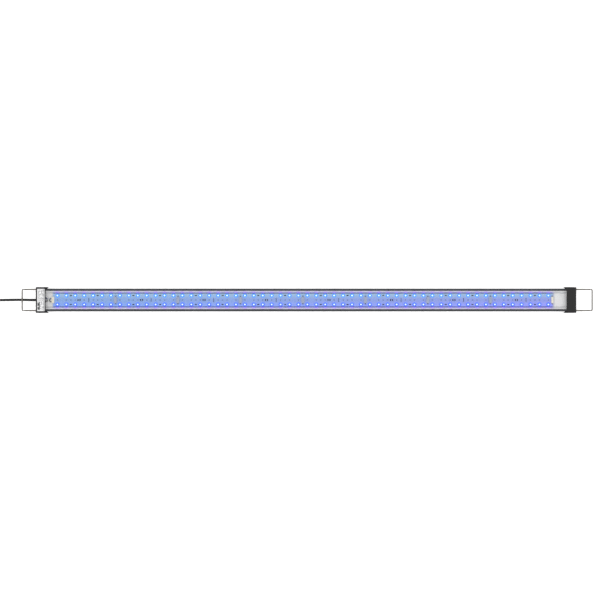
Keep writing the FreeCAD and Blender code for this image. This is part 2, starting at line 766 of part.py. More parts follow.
def thermal_tapes():
    """Heat-conducting tape between each board and the tray."""
    body = new_body("thermal_tapes")
    strip = new_sketch(body, "strip", "XY_Plane", TRAY_TOP)
    rectangle(strip, f"{FIRST_BOARD} + tape_margin", f"tape_margin - {BOARD_SIDE}",
              f"{FIRST_BOARD} + {BOARD_PITCH} - tape_margin", f"{BOARD_SIDE} - tape_margin")
    tape = pad(body, strip, "tape_thickness")
    repeat(body, [tape], "X_Axis", BOARD_PITCH, BOARDS)


def board_connector(label, middle, length, corner_round, count):
    """Rounded connectors on the boards, a board apart, with a solder tab at each end."""
    body = new_body(label)
    block = new_sketch(body, "block", "XY_Plane", BOARD_TOP)
    centred_rectangle(block, middle, "0", length, "link_width")
    pad(body, block, "connector_height")
    edge_feature(body, "Fillet", "round", corner_round, lambda edge: along(edge, "z"))
    tabs = new_sketch(body, "tabs", "XY_Plane", BOARD_TOP)
    for sign in "+-":
        centred_rectangle(tabs, middle, f"{sign}(link_width + tab_length) / 2",
                          "tab_width", "tab_length + 2 * tab_root")
    pad(body, tabs, "tab_height")
    if count > 1:
        pattern = body.newObject("PartDesign::LinearPattern", f"{label}_row")
        pattern.TransformMode = "Whole shape"
        axis = next(item for item in body.Origin.OriginFeatures if item.Role == "X_Axis")
        pattern.Direction = (axis, [""])
        pattern.Mode = "Spacing"
        pattern.Occurrences = count
        pattern.setExpression("Offset", cells(BOARD_PITCH))
        body.Tip = pattern
        document.recompute()


def input_connector():
    """Header on the first board and the plug of the two leads."""
    header_left = f"({FIRST_BOARD} - header_reach)"
    plate("input_header", header_left, "-header_width / 2",
          f"{header_left} + header_length", "header_width / 2", BOARD_TOP, "connector_height")
    plate("input_plug", f"{header_left} - plug_depth", "-header_width / 2 + plug_step",
          header_left, "header_width / 2 - plug_step", BOARD_TOP, "connector_height - plug_drop")


# ---------------------------------------------------------------- leads and supply cord
def from_left_end(points):
    """Points with x measured from the left end of the bar, positive towards its middle."""
    end = number(END)
    return [Vector(x - end, y, z) for x, y, z in points]


def leads():
    """The two leads from the end of the cord's sheath to the plug."""
    sheath_end = number("sheath_end")
    tied = number("lead_tie_place")
    plug_back = number("board_start - header_reach - plug_depth")
    middle = number(CORD_LEVEL)
    level = number("lead_level")
    blue = [(sheath_end, 1.1, middle), (8.0, 1.3, 11.4), (11.0, 3.0, 14.2), (17.0, 4.6, level),
            (21.4, 5.0, level), (24.4, 1.3, level), (tied, 0.92, level), (28.4, 1.3, level),
            (29.8, 3.6, level), (plug_back, 4.0, level)]
    brown = [(sheath_end, -1.1, middle), (8.0, -1.2, 11.4), (11.0, -2.0, 14.2),
             (17.0, -2.4, level), (21.4, -2.9, level), (24.4, -1.1, level),
             (tied, -0.92, level), (28.4, -1.3, level), (29.8, -3.6, level),
             (plug_back, -4.0, level)]
    for label, route in (("lead_blue", blue), ("lead_brown", brown)):
        points = from_left_end(route)
        tube(label, points, free_radii(points), number("lead_radius"))

    tie = new_body("lead_tie")
    loop = new_sketch(tie, "loop", "YZ_Plane", f"lead_tie_place - {END} - lead_tie_width / 2")
    for wall in ("lead_tie_wall", "0"):
        centred_rectangle(loop, "0", "lead_level", f"4 * lead_radius + lead_tie_play + 2 * {wall}",
                          f"2 * lead_radius + lead_tie_play + 2 * {wall}")
    pad(tie, loop, "lead_tie_width")


def cord_fittings():
    """Rubber grommet in the end wall and the collar that keeps the cord in."""
    grommet = turned_piece("cord_grommet", [
        (f"{WALL_X} - grommet_flange_thickness", "cord_radius"),
        (CAP_FACE_X, "cord_radius"),
        (CAP_FACE_X, "grommet_radius"),
        (WALL_X, "grommet_radius"),
        (WALL_X, "grommet_flange"),
        (f"{WALL_X} - grommet_flange_thickness", "grommet_flange"),
    ])
    place(grommet, x=f"-{PROFILE_END}", z=CORD_LEVEL, turn=180)
    collar_end = f"({WALL_X} - grommet_flange_thickness)"
    collar = turned_piece("cord_collar", [
        (f"{collar_end} - collar_length", "cord_radius"), (collar_end, "cord_radius"),
        (collar_end, "collar_radius"), (f"{collar_end} - collar_length", "collar_radius"),
    ])
    place(collar, x=f"-{PROFILE_END}", z=CORD_LEVEL, turn=180)


COIL_CENTRE = (-154.0, -31.0)       # from the left end of the bar


def supply_cord():
    """The cord as far as its coil, and the short tail between the coil and the plug."""
    radius = number("cord_radius")
    sheath_end = number("sheath_end")
    route = [(sheath_end, 0.0, 10.5), (-12.0, 0.0, 10.4), (-34.0, 0.4, 7.0), (-58.0, 0.2, 3.4),
             (-83.0, -0.3, 2.6), (-108.0, -0.1, 2.8), (-132.0, 1.9, 3.3)]
    tail = [(-156.0, 6.8, 8.3), (-174.0, 4.6, 7.3), (-187.5, -2.5, 4.4), (-196.5, -13.0, 3.5),
            (-200.5, -27.5, 4.6)]
    for label, chosen in (("cord", route), ("cord_tail", tail)):
        points = from_left_end(chosen)
        radii = free_radii(points)
        print(label, "arc radii in mm:", [round(value, 1) for value in radii])
        tube(label, points, radii, radius)
    end, before = from_left_end(tail[-1:] + tail[-2:-1])
    return end, end - before


def coil_and_tie():
    """Outer shape of the coiled cord, and the strap round one side of it."""
    x, y = COIL_CENTRE
    centre_x = f"({x} - {END})"
    coil = new_body("cord_coil")
    ring = new_sketch(coil, "ring", "XY_Plane", "coil_base")
    circle(ring, centre_x, str(y), "coil_outer")
    circle(ring, centre_x, str(y), "coil_inner")
    pad(coil, ring, "coil_height")
    edge_feature(coil, "Fillet", "round", "coil_round", lambda edge: edge.Length > 50)

    tie = new_body("coil_tie")
    strap = new_sketch(tie, "strap", "XZ_Plane", f"{-y} - tie_width / 2")
    ring_middle = f"({centre_x} + (coil_outer + coil_inner) / 2)"
    ring_width = "(coil_outer - coil_inner)"
    middle = "coil_base + coil_height / 2"
    centred_rectangle(strap, ring_middle, middle, f"{ring_width} + 2 * tie_thickness",
                      "coil_height + 2 * tie_thickness")
    centred_rectangle(strap, ring_middle, middle, ring_width, "coil_height")
    pad(tie, strap, "tie_width")


def low_voltage_plug(start, direction):
    """Moulded plug with its tapered relief, metal barrel and insulator, along one axis."""
    relief_end = "relief_length"
    body_end = f"({relief_end} + plug_length)"
    barrel_end = f"({body_end} + barrel_length)"
    relief = turned_piece("plug_relief", [
        ("0", "0"), (relief_end, "0"), (relief_end, "plug_neck"), ("0", "relief_radius"),
    ])
    body = turned_piece("plug_body", [
        (relief_end, "0"), (body_end, "0"), (body_end, "plug_radius"),
        (f"{relief_end} + plug_shoulder", "plug_radius"), (relief_end, "plug_neck"),
    ])
    barrel = turned_piece("plug_barrel", [
        (body_end, "barrel_radius - barrel_wall"), (barrel_end, "barrel_radius - barrel_wall"),
        (barrel_end, "barrel_radius"), (body_end, "barrel_radius"),
    ])
    insulator_end = f"({barrel_end} - insulator_set_back)"
    insulator = turned_piece("plug_insulator", [
        (body_end, "plug_bore"), (insulator_end, "plug_bore"),
        (insulator_end, "barrel_radius - barrel_wall"),
        (body_end, "barrel_radius - barrel_wall"),
    ])
    heading = math.degrees(math.atan2(direction.y, direction.x))
    for piece in (relief, body, barrel, insulator):
        place(piece, x=str(start.x), y=str(start.y), z=str(start.z), turn=heading)


# ---------------------------------------------------------------- rating label
def rating_label():
    """Thin label on the face of the left cap; it carries no real lettering."""
    left = f"(label_edge - {END})"
    plate("rating_label", left, f"-{LABEL_SIDE}", f"{left} + label_length", LABEL_SIDE,
          CAP_TOP, "label_thickness")


# ---------------------------------------------------------------- the assembly
housing_profile()
reflector_tray()
clear_cover()
cover_seals()
for end_name in ENDS:
    end_gasket(end_name)
    end_cap(end_name)
    cap_screws(end_name)
    guide_bushes(end_name)
    bracket(end_name, f"reach_{end_name}")
    slide_shoes(end_name, f"reach_{end_name}")
thermal_tapes()
for board_number in range(1, BOARDS + 1):
    led_board(board_number)
    led_chips(board_number)
    board_components(board_number)
board_connector("board_link_connectors", board_left(2), "link_length", "link_round",
                BOARDS - 1)
board_connector("end_connector", f"({board_left(BOARDS + 1)} + last_reach - last_length / 2)",
                "last_length", "last_round", 1)
input_connector()
leads()
cord_fittings()
cord_end, cord_heading = supply_cord()
coil_and_tie()
low_voltage_plug(cord_end, cord_heading)
rating_label()
document.recompute()

# ---------------------------------------------------------------- checks and export
for item in document.Objects:
    if "Invalid" in item.State or "Error" in item.State:
        raise RuntimeError(f"{item.Label} did not build: {item.State}")

os.makedirs("parts", exist_ok=True)
pieces = [item for item in document.Objects
          if item.TypeId in ("PartDesign::Body", "Part::Feature")]
for piece in pieces:
    if piece.Shape.isNull() or not piece.Shape.isValid():
        raise RuntimeError(f"{piece.Label} is not a valid shape")
    piece.Shape.exportStep(f"parts/{piece.Label}.step")
print(len(pieces), "pieces written")
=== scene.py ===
import math

import bmesh
import bpy
from mathutils import Matrix, Vector


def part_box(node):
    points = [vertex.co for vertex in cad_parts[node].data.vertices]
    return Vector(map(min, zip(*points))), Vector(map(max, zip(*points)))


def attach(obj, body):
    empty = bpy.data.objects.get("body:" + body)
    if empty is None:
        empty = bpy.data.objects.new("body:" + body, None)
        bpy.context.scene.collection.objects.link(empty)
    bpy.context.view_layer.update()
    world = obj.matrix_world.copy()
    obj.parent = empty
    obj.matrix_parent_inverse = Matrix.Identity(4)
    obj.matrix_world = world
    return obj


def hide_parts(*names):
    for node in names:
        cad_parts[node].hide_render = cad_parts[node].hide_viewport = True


# LED light bar for an aquarium, lying on its back with its LEDs up. +X runs along the bar,
# away from the supply cord, +Y is the side of the paler blue row, and z = 0 is the table.
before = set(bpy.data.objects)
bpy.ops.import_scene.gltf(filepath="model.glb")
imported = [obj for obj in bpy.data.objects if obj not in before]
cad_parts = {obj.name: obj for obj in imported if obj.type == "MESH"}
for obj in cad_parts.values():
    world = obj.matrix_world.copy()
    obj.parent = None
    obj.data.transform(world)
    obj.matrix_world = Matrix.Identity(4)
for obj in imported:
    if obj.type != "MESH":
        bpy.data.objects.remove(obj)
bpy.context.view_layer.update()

# ---------------------------------------------------------------- camera
# Straight above the middle of the bar, with a long lens, so that the bar fills the width.
camera_data = bpy.data.cameras.new("camera")
camera_data.lens = 85.2
camera_data.sensor_width = 36.0
camera = bpy.data.objects.new("camera", camera_data)
camera.location = (-0.0128, 0.0, 3.014)
bpy.context.scene.collection.objects.link(camera)
bpy.context.scene.camera = camera

# ---------------------------------------------------------------- supply cord
# Low-voltage lead, 5 mm thick and 1.5 m long, two cores in a round sheath of soft black PVC.
# It leaves the left cap, lies down on the table, and its spare length is a tied coil.
MM = 0.001
LEFT_END = -570.0
CORD = 5.0
COIL_MIDDLE = (-724.0, -31.0)
OUTER_TURN = 37.65
COIL_FLOOR = 3.3
COIL_STEP = 20
SHIFT = 60                          # degrees in which a turn moves over to its next place


def eased(angle, start):
    """How far a turn has moved over, from 0 at the start angle to 1 at the end of the shift."""
    share = min(max((angle - start) / SHIFT, 0.0), 1.0)
    return (1 - math.cos(math.pi * share)) / 2


route = [(6.5, 0.0, 10.5), (-12.0, 0.0, 10.4), (-34.0, 0.4, 7.0), (-58.0, 0.2, 3.4),
         (-83.0, -0.3, 2.6), (-108.0, -0.1, 2.8), (-132.0, 1.9, 3.3)]
tail = [(-156.0, 6.8, 8.3), (-174.0, 4.6, 7.3), (-187.5, -2.5, 4.4), (-196.5, -13.0, 3.5),
        (-200.5, -27.5, 4.6)]
cord_points = [Vector((LEFT_END + x, y, z)) for x, y, z in route]
for angle in range(80, 2601, COIL_STEP):
    # Four turns inwards on the table, up to the second layer, and three turns outwards.
    inwards = sum(eased(angle, start) for start in (360, 720, 1080))
    outwards = sum(eased(angle, start) for start in (1680, 2040, 2400))
    radius = OUTER_TURN + CORD * (outwards - inwards)
    corner = radius / math.cos(math.radians(COIL_STEP / 2))
    cord_points.append(Vector((COIL_MIDDLE[0] + corner * math.cos(math.radians(angle)),
                               COIL_MIDDLE[1] + corner * math.sin(math.radians(angle)),
                               COIL_FLOOR + CORD * eased(angle, 1380))))
cord_points += [Vector((LEFT_END + x, y, z)) for x, y, z in tail]


def nurbs_tube(name, points, thickness):
    """A round flexible piece along one NURBS spline through the given control points."""
    data = bpy.data.curves.new(name, "CURVE")
    data.dimensions = "3D"
    data.bevel_depth = thickness / 2 * MM
    data.bevel_resolution = 3
    data.resolution_u = 6
    data.use_fill_caps = True
    spline = data.splines.new("NURBS")
    spline.points.add(len(points) - 1)
    for point, place in zip(spline.points, points):
        point.co = (*(place * MM), 1.0)
    spline.order_u = 3
    spline.use_endpoint_u = True
    piece = bpy.data.objects.new(name, data)
    bpy.context.scene.collection.objects.link(piece)
    return piece


def linear(colour):
    """An sRGB hex colour as linear red, green, blue and alpha."""
    channels = [int(colour[start:start + 2], 16) / 255 for start in (0, 2, 4)]
    return [channel / 12.92 if channel <= 0.04045 else ((channel + 0.055) / 1.055) ** 2.4
            for channel in channels] + [1.0]


def new_material(name, **finish):
    """A material and its shader; finish sets the shader's own sockets."""
    material = bpy.data.materials.new(name)
    material.use_nodes = True
    shader = material.node_tree.nodes["Principled BSDF"]
    for socket, value in finish.items():
        shader.inputs[socket.replace("_", " ")].default_value = value
    return material, shader


def add_node(shader, kind, inputs, **settings):
    """The outputs of a new node, with its settings, in the node tree of a shader.

    An input is a plain value, a hex colour or another node's output. A colour mix takes its
    share in input 0 and its colours in inputs 6 and 7, and gives the result in output 2.
    """
    tree = shader.id_data
    node = tree.nodes.new(kind)
    for name, value in settings.items():
        setattr(node, name, value)
    for name, value in inputs.items():
        if isinstance(value, bpy.types.NodeSocket):
            tree.links.new(value, node.inputs[name])
        else:
            node.inputs[name].default_value = linear(value) if isinstance(value, str) else value
    return node.outputs


def feed(shader, **sources):
    """Link outputs of nodes to the shader's own sockets."""
    for socket, source in sources.items():
        shader.id_data.links.new(source, shader.inputs[socket.replace("_", " ")])


def grained(shader, colours, grain, depth, stretch=(1, 1, 1), roughness=None):
    """Fine mottling of two colours, a shallow relief and, if given, a roughness range.

    grain is the size of a grain and depth the depth of the relief, both in millimetres.
    """
    place = add_node(shader, "ShaderNodeTexCoord", {})["Object"]
    place = add_node(shader, "ShaderNodeMapping", {"Vector": place, "Scale": stretch})["Vector"]
    noise = add_node(shader, "ShaderNodeTexNoise",
                     {"Vector": place, "Scale": 1 / (grain * MM), "Detail": 3.0})["Fac"]
    mottled = add_node(shader, "ShaderNodeMix", {0: noise, 6: colours[0], 7: colours[1]},
                       data_type="RGBA")[2]
    relief = add_node(shader, "ShaderNodeBump",
                      {"Height": noise, "Strength": 0.4, "Distance": depth * MM})["Normal"]
    feed(shader, Base_Color=mottled, Normal=relief)
    if roughness:
        spread = add_node(shader, "ShaderNodeMapRange",
                          {"Value": noise, "To Min": roughness[0], "To Max": roughness[1]})
        feed(shader, Roughness=spread["Result"])


cord = nurbs_tube("supply_cord", cord_points, CORD)
# Soft PVC: near black, a satin skin with fine streaks from the extruder.
sheath_pvc, shader = new_material("soft_pvc_sheath", IOR=1.53, Specular_IOR_Level=0.3)
grained(shader, ("080808", "111112"), 1.4, 0.01, roughness=(0.5, 0.65))
cord.data.materials.append(sheath_pvc)
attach(cord, "lamp")
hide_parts("cord", "cord_coil", "cord_tail")

# ---------------------------------------------------------------- tie round the coil
# Strap of black hook-and-loop tape, 8 mm wide, wrapped once round all the turns of the coil.
TIE_WALL = 0.8
TIE_CORNER = 2.6
SHARP_ANGLE = 40                    # degrees between two faces from which an edge is sharp


def finished(name, mesh, materials, body, replaced):
    """The object of a mesh that is in place, riding on a body and standing for CAD nodes."""
    data = bpy.data.meshes.new(name)
    mesh.to_mesh(data)
    mesh.free()
    for material in materials:
        data.materials.append(material)
    data.polygons.foreach_set("use_smooth", [True] * len(data.polygons))
    data.set_sharp_from_angle(angle=math.radians(SHARP_ANGLE))
    piece = bpy.data.objects.new(name, data)
    bpy.context.scene.collection.objects.link(piece)
    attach(piece, body)
    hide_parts(*replaced)
    return piece


def block(mesh, low, high, material=0):
    """A box between two corners in millimetres; returns its faces."""
    size = Vector(high) - Vector(low)
    middle = (Vector(high) + Vector(low)) / 2
    placed = Matrix.Translation(middle * MM) @ Matrix.Diagonal((*(size * MM), 1.0))
    verts = bmesh.ops.create_cube(mesh, size=1.0, matrix=placed)["verts"]
    faces = {face for vert in verts for face in vert.link_faces}
    for face in faces:
        face.material_index = material
    return faces


def runs_along(edge, axis):
    """Whether an edge is parallel to axis 0, 1 or 2."""
    line = (edge.verts[1].co - edge.verts[0].co).normalized()
    return abs(line[axis]) > 0.999


def round_edges(mesh, edges, size, segments):
    """Round some edges by a size in millimetres; returns the new faces."""
    return bmesh.ops.bevel(mesh, geom=list(edges), offset=size * MM, segments=segments,
                           affect="EDGES", profile=0.5, material=-1)["faces"]


def strap_loop(low, high, across, wall, corner, segments):
    """A closed strap between two corners in millimetres, with its hollow along one axis."""
    inset = Vector([0 if axis == across else wall for axis in range(3)])
    mesh = bmesh.new()
    faces = block(mesh, low / MM + inset, high / MM - inset)
    bmesh.ops.delete(mesh, geom=[face for face in faces if abs(face.normal[across]) > 0.9],
                     context="FACES_ONLY")
    round_edges(mesh, [edge for edge in mesh.edges if runs_along(edge, across)], corner, segments)
    bmesh.ops.recalc_face_normals(mesh, faces=mesh.faces)
    bmesh.ops.solidify(mesh, geom=list(mesh.faces), thickness=-wall * MM)
    bmesh.ops.recalc_face_normals(mesh, faces=mesh.faces)
    return mesh


low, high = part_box("coil_tie")
strap = strap_loop(low, high, 1, TIE_WALL, TIE_CORNER, 5)
# Hook-and-loop tape: dark loops about 0.8 mm across, which scatter the light softly.
loop_tape, shader = new_material("hook_and_loop_tape", Roughness=0.9, Sheen_Weight=0.3)
grained(shader, ("0b0b0c", "242426"), 0.8, 0.4)
coil_tie = finished("coil_strap", strap, [loop_tape], "lamp",
                    ["coil_tie"])

# ---------------------------------------------------------------- low-voltage plug
# Moulded PVC handle with its ribbed, tapered relief, on a nickel-plated barrel 5.5 mm thick.
plug_start = cord_points[-1]
plug_heading = math.atan2(tail[-1][1] - tail[-2][1], tail[-1][0] - tail[-2][0])
PLUG_PLACE = Matrix.Translation(plug_start * MM) @ Matrix.Rotation(plug_heading, 4, "Z")
RELIEF_RIBS = 5
RIB_PITCH = 1.95
GRIP_GROOVES = 5
GROOVE_PITCH = 2.2


def turned(outline, place, segments=28):
    """A mesh turned about its own X axis from pairs of (along, radius) in millimetres."""
    mesh = bmesh.new()
    line = [mesh.verts.new((along * MM, radius * MM, 0)) for along, radius in outline]
    edges = [mesh.edges.new(pair) for pair in zip(line, line[1:])]
    bmesh.ops.spin(mesh, geom=line + edges, cent=(0, 0, 0), axis=(1, 0, 0), angle=math.tau,
                   steps=segments, use_merge=True)
    bmesh.ops.remove_doubles(mesh, verts=mesh.verts, dist=1e-6)
    bmesh.ops.dissolve_degenerate(mesh, edges=mesh.edges, dist=1e-7)
    bmesh.ops.recalc_face_normals(mesh, faces=mesh.faces)
    bmesh.ops.transform(mesh, matrix=place, verts=mesh.verts)
    return mesh


# Outlines from the cord to the tip, as (along, radius).
relief_outline = [(0.0, 0.0), (0.0, 2.7)]
for rib in range(RELIEF_RIBS):
    start = 0.4 + RIB_PITCH * rib
    swell = 2.78 + 0.13 * rib
    relief_outline += [(start, swell), (start + 1.1, swell + 0.05),
                       (start + 1.3, swell - 0.4), (start + 1.75, swell - 0.38)]
relief_outline += [(10.0, 3.3), (10.0, 0.0)]
plug_relief = finished("plug_strain_relief", turned(relief_outline, PLUG_PLACE), [sheath_pvc],
                       "lamp", ["plug_relief"])

grip_outline = [(10.0, 0.0), (10.0, 3.3), (10.3, 3.5), (13.6, 4.45), (14.6, 4.6)]
for groove in range(GRIP_GROOVES):
    start = 16.4 + GROOVE_PITCH * groove
    grip_outline += [(start, 4.6), (start + 0.3, 4.25), (start + 0.9, 4.25), (start + 1.2, 4.6)]
grip_outline += [(31.2, 4.6), (31.8, 4.4), (32.0, 4.0), (32.0, 0.0)]
# Moulded PVC of the handle: fine spark-eroded texture.
plug_pvc, shader = new_material("moulded_pvc_plug", IOR=1.53)
grained(shader, ("111112", "1d1d1e"), 0.9, 0.05, roughness=(0.4, 0.55))
plug_grip = finished("plug_handle", turned(grip_outline, PLUG_PLACE), [plug_pvc], "lamp",
                     ["plug_body"])


def give(material, *names):
    """Give a material to CAD pieces whose shapes are kept."""
    for name in names:
        for material_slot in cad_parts[name].material_slots:
            material_slot.material = material


# Nickel plate on turned brass: bright, slightly warm, with faint rings left by the lathe.
nickel, shader = new_material("nickel_plated_brass", Metallic=1.0)
grained(shader, ("b9b5aa", "cbc8be"), 0.5, 0.01, (1, 8, 8), (0.2, 0.34))
give(nickel, "plug_barrel", "cord_collar")
# Natural polyamide insulator in the barrel.
insulator_nylon, shader = new_material("black_polyamide_insulator", IOR=1.53)
grained(shader, ("161617", "202022"), 0.6, 0.02, roughness=(0.45, 0.6))
give(insulator_nylon, "plug_insulator")

# ---------------------------------------------------------------- aluminium profile
# Extruded aluminium, black anodised. Its two lips are the dark rims beside the clear cover,
# and the fine lines of the extrusion run the whole length.
anodised, shader = new_material("black_anodised_aluminium", Metallic=1.0)
grained(shader, ("424346", "4a4b4e"), 0.7, 0.001, (0.01, 1, 1), (0.38, 0.46))
give(anodised, "housing_profile")

# ---------------------------------------------------------------- light of the LEDs
# The LEDs are lit: pale spots with saturated haloes on the boards, paler sky blue on the +Y
# row and more violet on the -Y row and towards the right end. That light on boards, tray and
# small parts is painted into their colours and emission, in a pattern that follows the real
# pitch of the LEDs.
FIRST_BOARD = -534.7
LED_PITCH = 18.86
LEDS_IN_A_ROW = 7
BOARDS = 8
BOARD_PITCH = LEDS_IN_A_ROW * LED_PITCH
LED_ROW = 9.475
BOARD_TOP = 12.9
BOARD_HALF = 13.7
LAST_BOARD = FIRST_BOARD + BOARDS * BOARD_PITCH
BETWEEN_ROWS = (-LED_ROW / 2, LED_ROW / 2)
VIOLET_RISE = (-420.0, 540.0)       # along the bar, from the bluest to the most violet light
# Kinds of node that come up often, and the settings of a soft step and of a mix of colours.
MAP, MATH, MIX = "ShaderNodeMapRange", "ShaderNodeMath", "ShaderNodeMix"
SMOOTH = {"interpolation_type": "SMOOTHSTEP"}
COLOUR = {"data_type": "RGBA"}


def span(start, end):
    """The range that a map takes its value from, given in millimetres."""
    return {"From Min": start * MM, "From Max": end * MM}


def led_light(shader):
    """Where a point lies in the pattern of the light, as the outputs of nodes, in metres.

    x and y are its place, sideways its distance from the middle line, along its distance along
    the bar from the middle of its LED's step, distance that from the nearest LED, and lit goes
    from 0 beyond the ends of the boards to 1 over them.
    """
    place = add_node(shader, "ShaderNodeTexCoord", {})["Object"]
    place = add_node(shader, "ShaderNodeSeparateXYZ", {0: place})
    light = {"x": place["X"], "y": place["Y"]}
    from_end = add_node(shader, MATH, {0: light["x"], 1: FIRST_BOARD * MM}, operation="SUBTRACT")
    steps = add_node(shader, MATH, {0: from_end[0], 1: LED_PITCH * MM}, operation="DIVIDE")
    share = add_node(shader, MATH, {0: steps[0]}, operation="FRACT")
    centred = add_node(shader, MATH, {0: share[0], 1: 0.5}, operation="SUBTRACT")
    light["along"] = add_node(shader, MATH, {0: centred[0], 1: LED_PITCH * MM},
                              operation="MULTIPLY")[0]
    light["sideways"] = add_node(shader, MATH, {0: light["y"]}, operation="ABSOLUTE")[0]
    across = add_node(shader, MATH, {0: light["sideways"], 1: LED_ROW * MM},
                      operation="SUBTRACT")
    offset = add_node(shader, "ShaderNodeCombineXYZ", {0: light["along"], 1: across[0]})
    light["distance"] = add_node(shader, "ShaderNodeVectorMath", {0: offset[0]},
                                 operation="LENGTH")["Value"]
    left_end = add_node(shader, MAP, {"Value": light["x"],
                                      **span(FIRST_BOARD - 3, FIRST_BOARD + 3)}, **SMOOTH)
    right_end = add_node(shader, MAP, {"Value": light["x"],
                                       **span(LAST_BOARD + 6, LAST_BOARD - 4)}, **SMOOTH)
    light["lit"] = add_node(shader, MATH, {0: left_end[0], 1: right_end[0]},
                            operation="MULTIPLY")[0]
    return light


# White solder mask on aluminium, with the light of its own LEDs painted on it. The base colour
# carries the painted blue of that light, and the emission paints glowing haloes round the LEDs.
board_mask, shader = new_material("white_solder_mask", Roughness=0.55, IOR=1.5,
                                  Emission_Strength=0.35)
light = led_light(shader)
upper = add_node(shader, MAP, {"Value": light["y"], **span(0, BOARD_HALF)}, **SMOOTH)[0]
lower = add_node(shader, MAP, {"Value": light["y"], **span(0, -BOARD_HALF)}, **SMOOTH)[0]
rightwards = add_node(shader, MAP, {"Value": light["x"], **span(*VIOLET_RISE)})[0]
middle_painted_blue = add_node(shader, MIX, {0: rightwards, 6: "6f90c4", 7: "7983c9"}, **COLOUR)[2]
upper_painted_blue = add_node(shader, MIX, {0: upper, 6: middle_painted_blue, 7: "87a7c3"}, **COLOUR)[2]
lower_painted_blue = add_node(shader, MIX, {0: rightwards, 6: "6e92d9", 7: "8288e4"}, **COLOUR)[2]
surface = add_node(shader, MIX, {0: lower, 6: upper_painted_blue, 7: lower_painted_blue}, **COLOUR)[2]
rows = add_node(shader, MAP, {"Value": light["y"], **span(*BETWEEN_ROWS)}, **SMOOTH)[0]
# Painted haloes of LED light round each LED, made to glow by the emission.
halo = add_node(shader, MIX, {0: rows, 6: "2e66ff", 7: "2f8dfa"}, **COLOUR)[2]
near_led = add_node(shader, MAP, {"Value": light["distance"], **span(5.4, 3.0)}, **SMOOTH)[0]
glowing = add_node(shader, MIX, {0: near_led, 6: surface, 7: halo}, **COLOUR)[2]
# Faint tracks and print on the mask, about 2.4 mm apart.
place = add_node(shader, "ShaderNodeTexCoord", {})["Object"]
tracks = add_node(shader, "ShaderNodeTexNoise",
                  {"Vector": place, "Scale": 420.0, "Detail": 2.0})["Fac"]
shade = add_node(shader, MAP, {"Value": tracks, "To Min": 0.93, "To Max": 1.04})[0]
# The rim of the board lies in the shade of the tray's folds.
rim = add_node(shader, MAP, {"Value": light["sideways"], **span(12.6, 13.6)}, **SMOOTH)[0]
rim_shade = add_node(shader, MATH, {0: rim, 1: 0.3}, operation="MULTIPLY")[0]
shade = add_node(shader, MATH, {0: shade, 1: rim_shade}, operation="SUBTRACT")[0]
toned = add_node(shader, MIX, {0: 1.0, 6: glowing, 7: shade}, blend_type="MULTIPLY", **COLOUR)[2]
relief = add_node(shader, "ShaderNodeBump",
                  {"Height": tracks, "Strength": 0.3, "Distance": 0.05 * MM})["Normal"]
feed(shader, Base_Color=toned, Emission_Color=toned, Normal=relief)
give(board_mask, *[f"led_board_{index}" for index in range(1, BOARDS + 1)])

# ---------------------------------------------------------------- LEDs
# Surface-mounted packages of white polyphthalamide, 5 mm square, each with a clear silicone
# lens. Seven in a row and two rows on every board, soldered flat on it.
LED_SIZE = 5.0
LED_HEIGHT = 1.3
LENS_RADIUS = 2.0
LENS_FLATNESS = 0.15                # height of the lens by its radius
led_shape = bmesh.new()
faces = block(led_shape, (-LED_SIZE / 2, -LED_SIZE / 2, 0),
              (LED_SIZE / 2, LED_SIZE / 2, LED_HEIGHT))
top = [face for face in faces if face.normal.z > 0.9]
round_edges(led_shape, {edge for face in top for edge in face.edges}, 0.25, 1)
top = [face for face in led_shape.faces if face.normal.z > 0.99]
bmesh.ops.inset_region(led_shape, faces=top, thickness=0.3 * MM, depth=-0.12 * MM)
lens = bmesh.ops.create_uvsphere(led_shape, u_segments=12, v_segments=4, radius=LENS_RADIUS * MM,
                                 matrix=Matrix.Translation((0, 0, LED_HEIGHT * MM))
                                 @ Matrix.Diagonal((1, 1, LENS_FLATNESS, 1)))
for face in {face for vert in lens["verts"] for face in vert.link_faces}:
    face.material_index = 1
led_data = bpy.data.meshes.new("led_shape")
led_shape.to_mesh(led_data)
led_shape.free()

# The package around the lens takes the colour of its own light.
led_housing, shader = new_material("white_polyphthalamide", Roughness=0.5,
                                   Emission_Strength=0.25)
light = led_light(shader)
rows = add_node(shader, MAP, {"Value": light["y"], **span(*BETWEEN_ROWS)}, **SMOOTH)[0]
edge_light = add_node(shader, MIX, {0: rows, 6: "2f66ff", 7: "3093ff"}, **COLOUR)[2]
heart = add_node(shader, MAP, {"Value": light["distance"], **span(2.3, 1.7)}, **SMOOTH)[0]
package_light = add_node(shader, MIX, {0: heart, 6: edge_light, 7: "8cc4ff"}, **COLOUR)[2]
feed(shader, Base_Color=package_light, Emission_Color=package_light)
# Clear silicone over the lit die: nearly white in the middle, bluer towards its edge.
led_silicone, shader = new_material("lit_silicone_lens", Roughness=0.15, IOR=1.41,
                                    Emission_Strength=0.6)
light = led_light(shader)
core = add_node(shader, MAP, {"Value": light["distance"], **span(1.9, 0.8)}, **SMOOTH)[0]
rows = add_node(shader, MAP, {"Value": light["y"], **span(*BETWEEN_ROWS)}, **SMOOTH)[0]
rim_light = add_node(shader, MIX, {0: rows, 6: "5f9cff", 7: "6fc0ff"}, **COLOUR)[2]
lens_light = add_node(shader, MIX, {0: core, 6: rim_light, 7: "f4fbff"}, **COLOUR)[2]
feed(shader, Base_Color=lens_light, Emission_Color=lens_light)

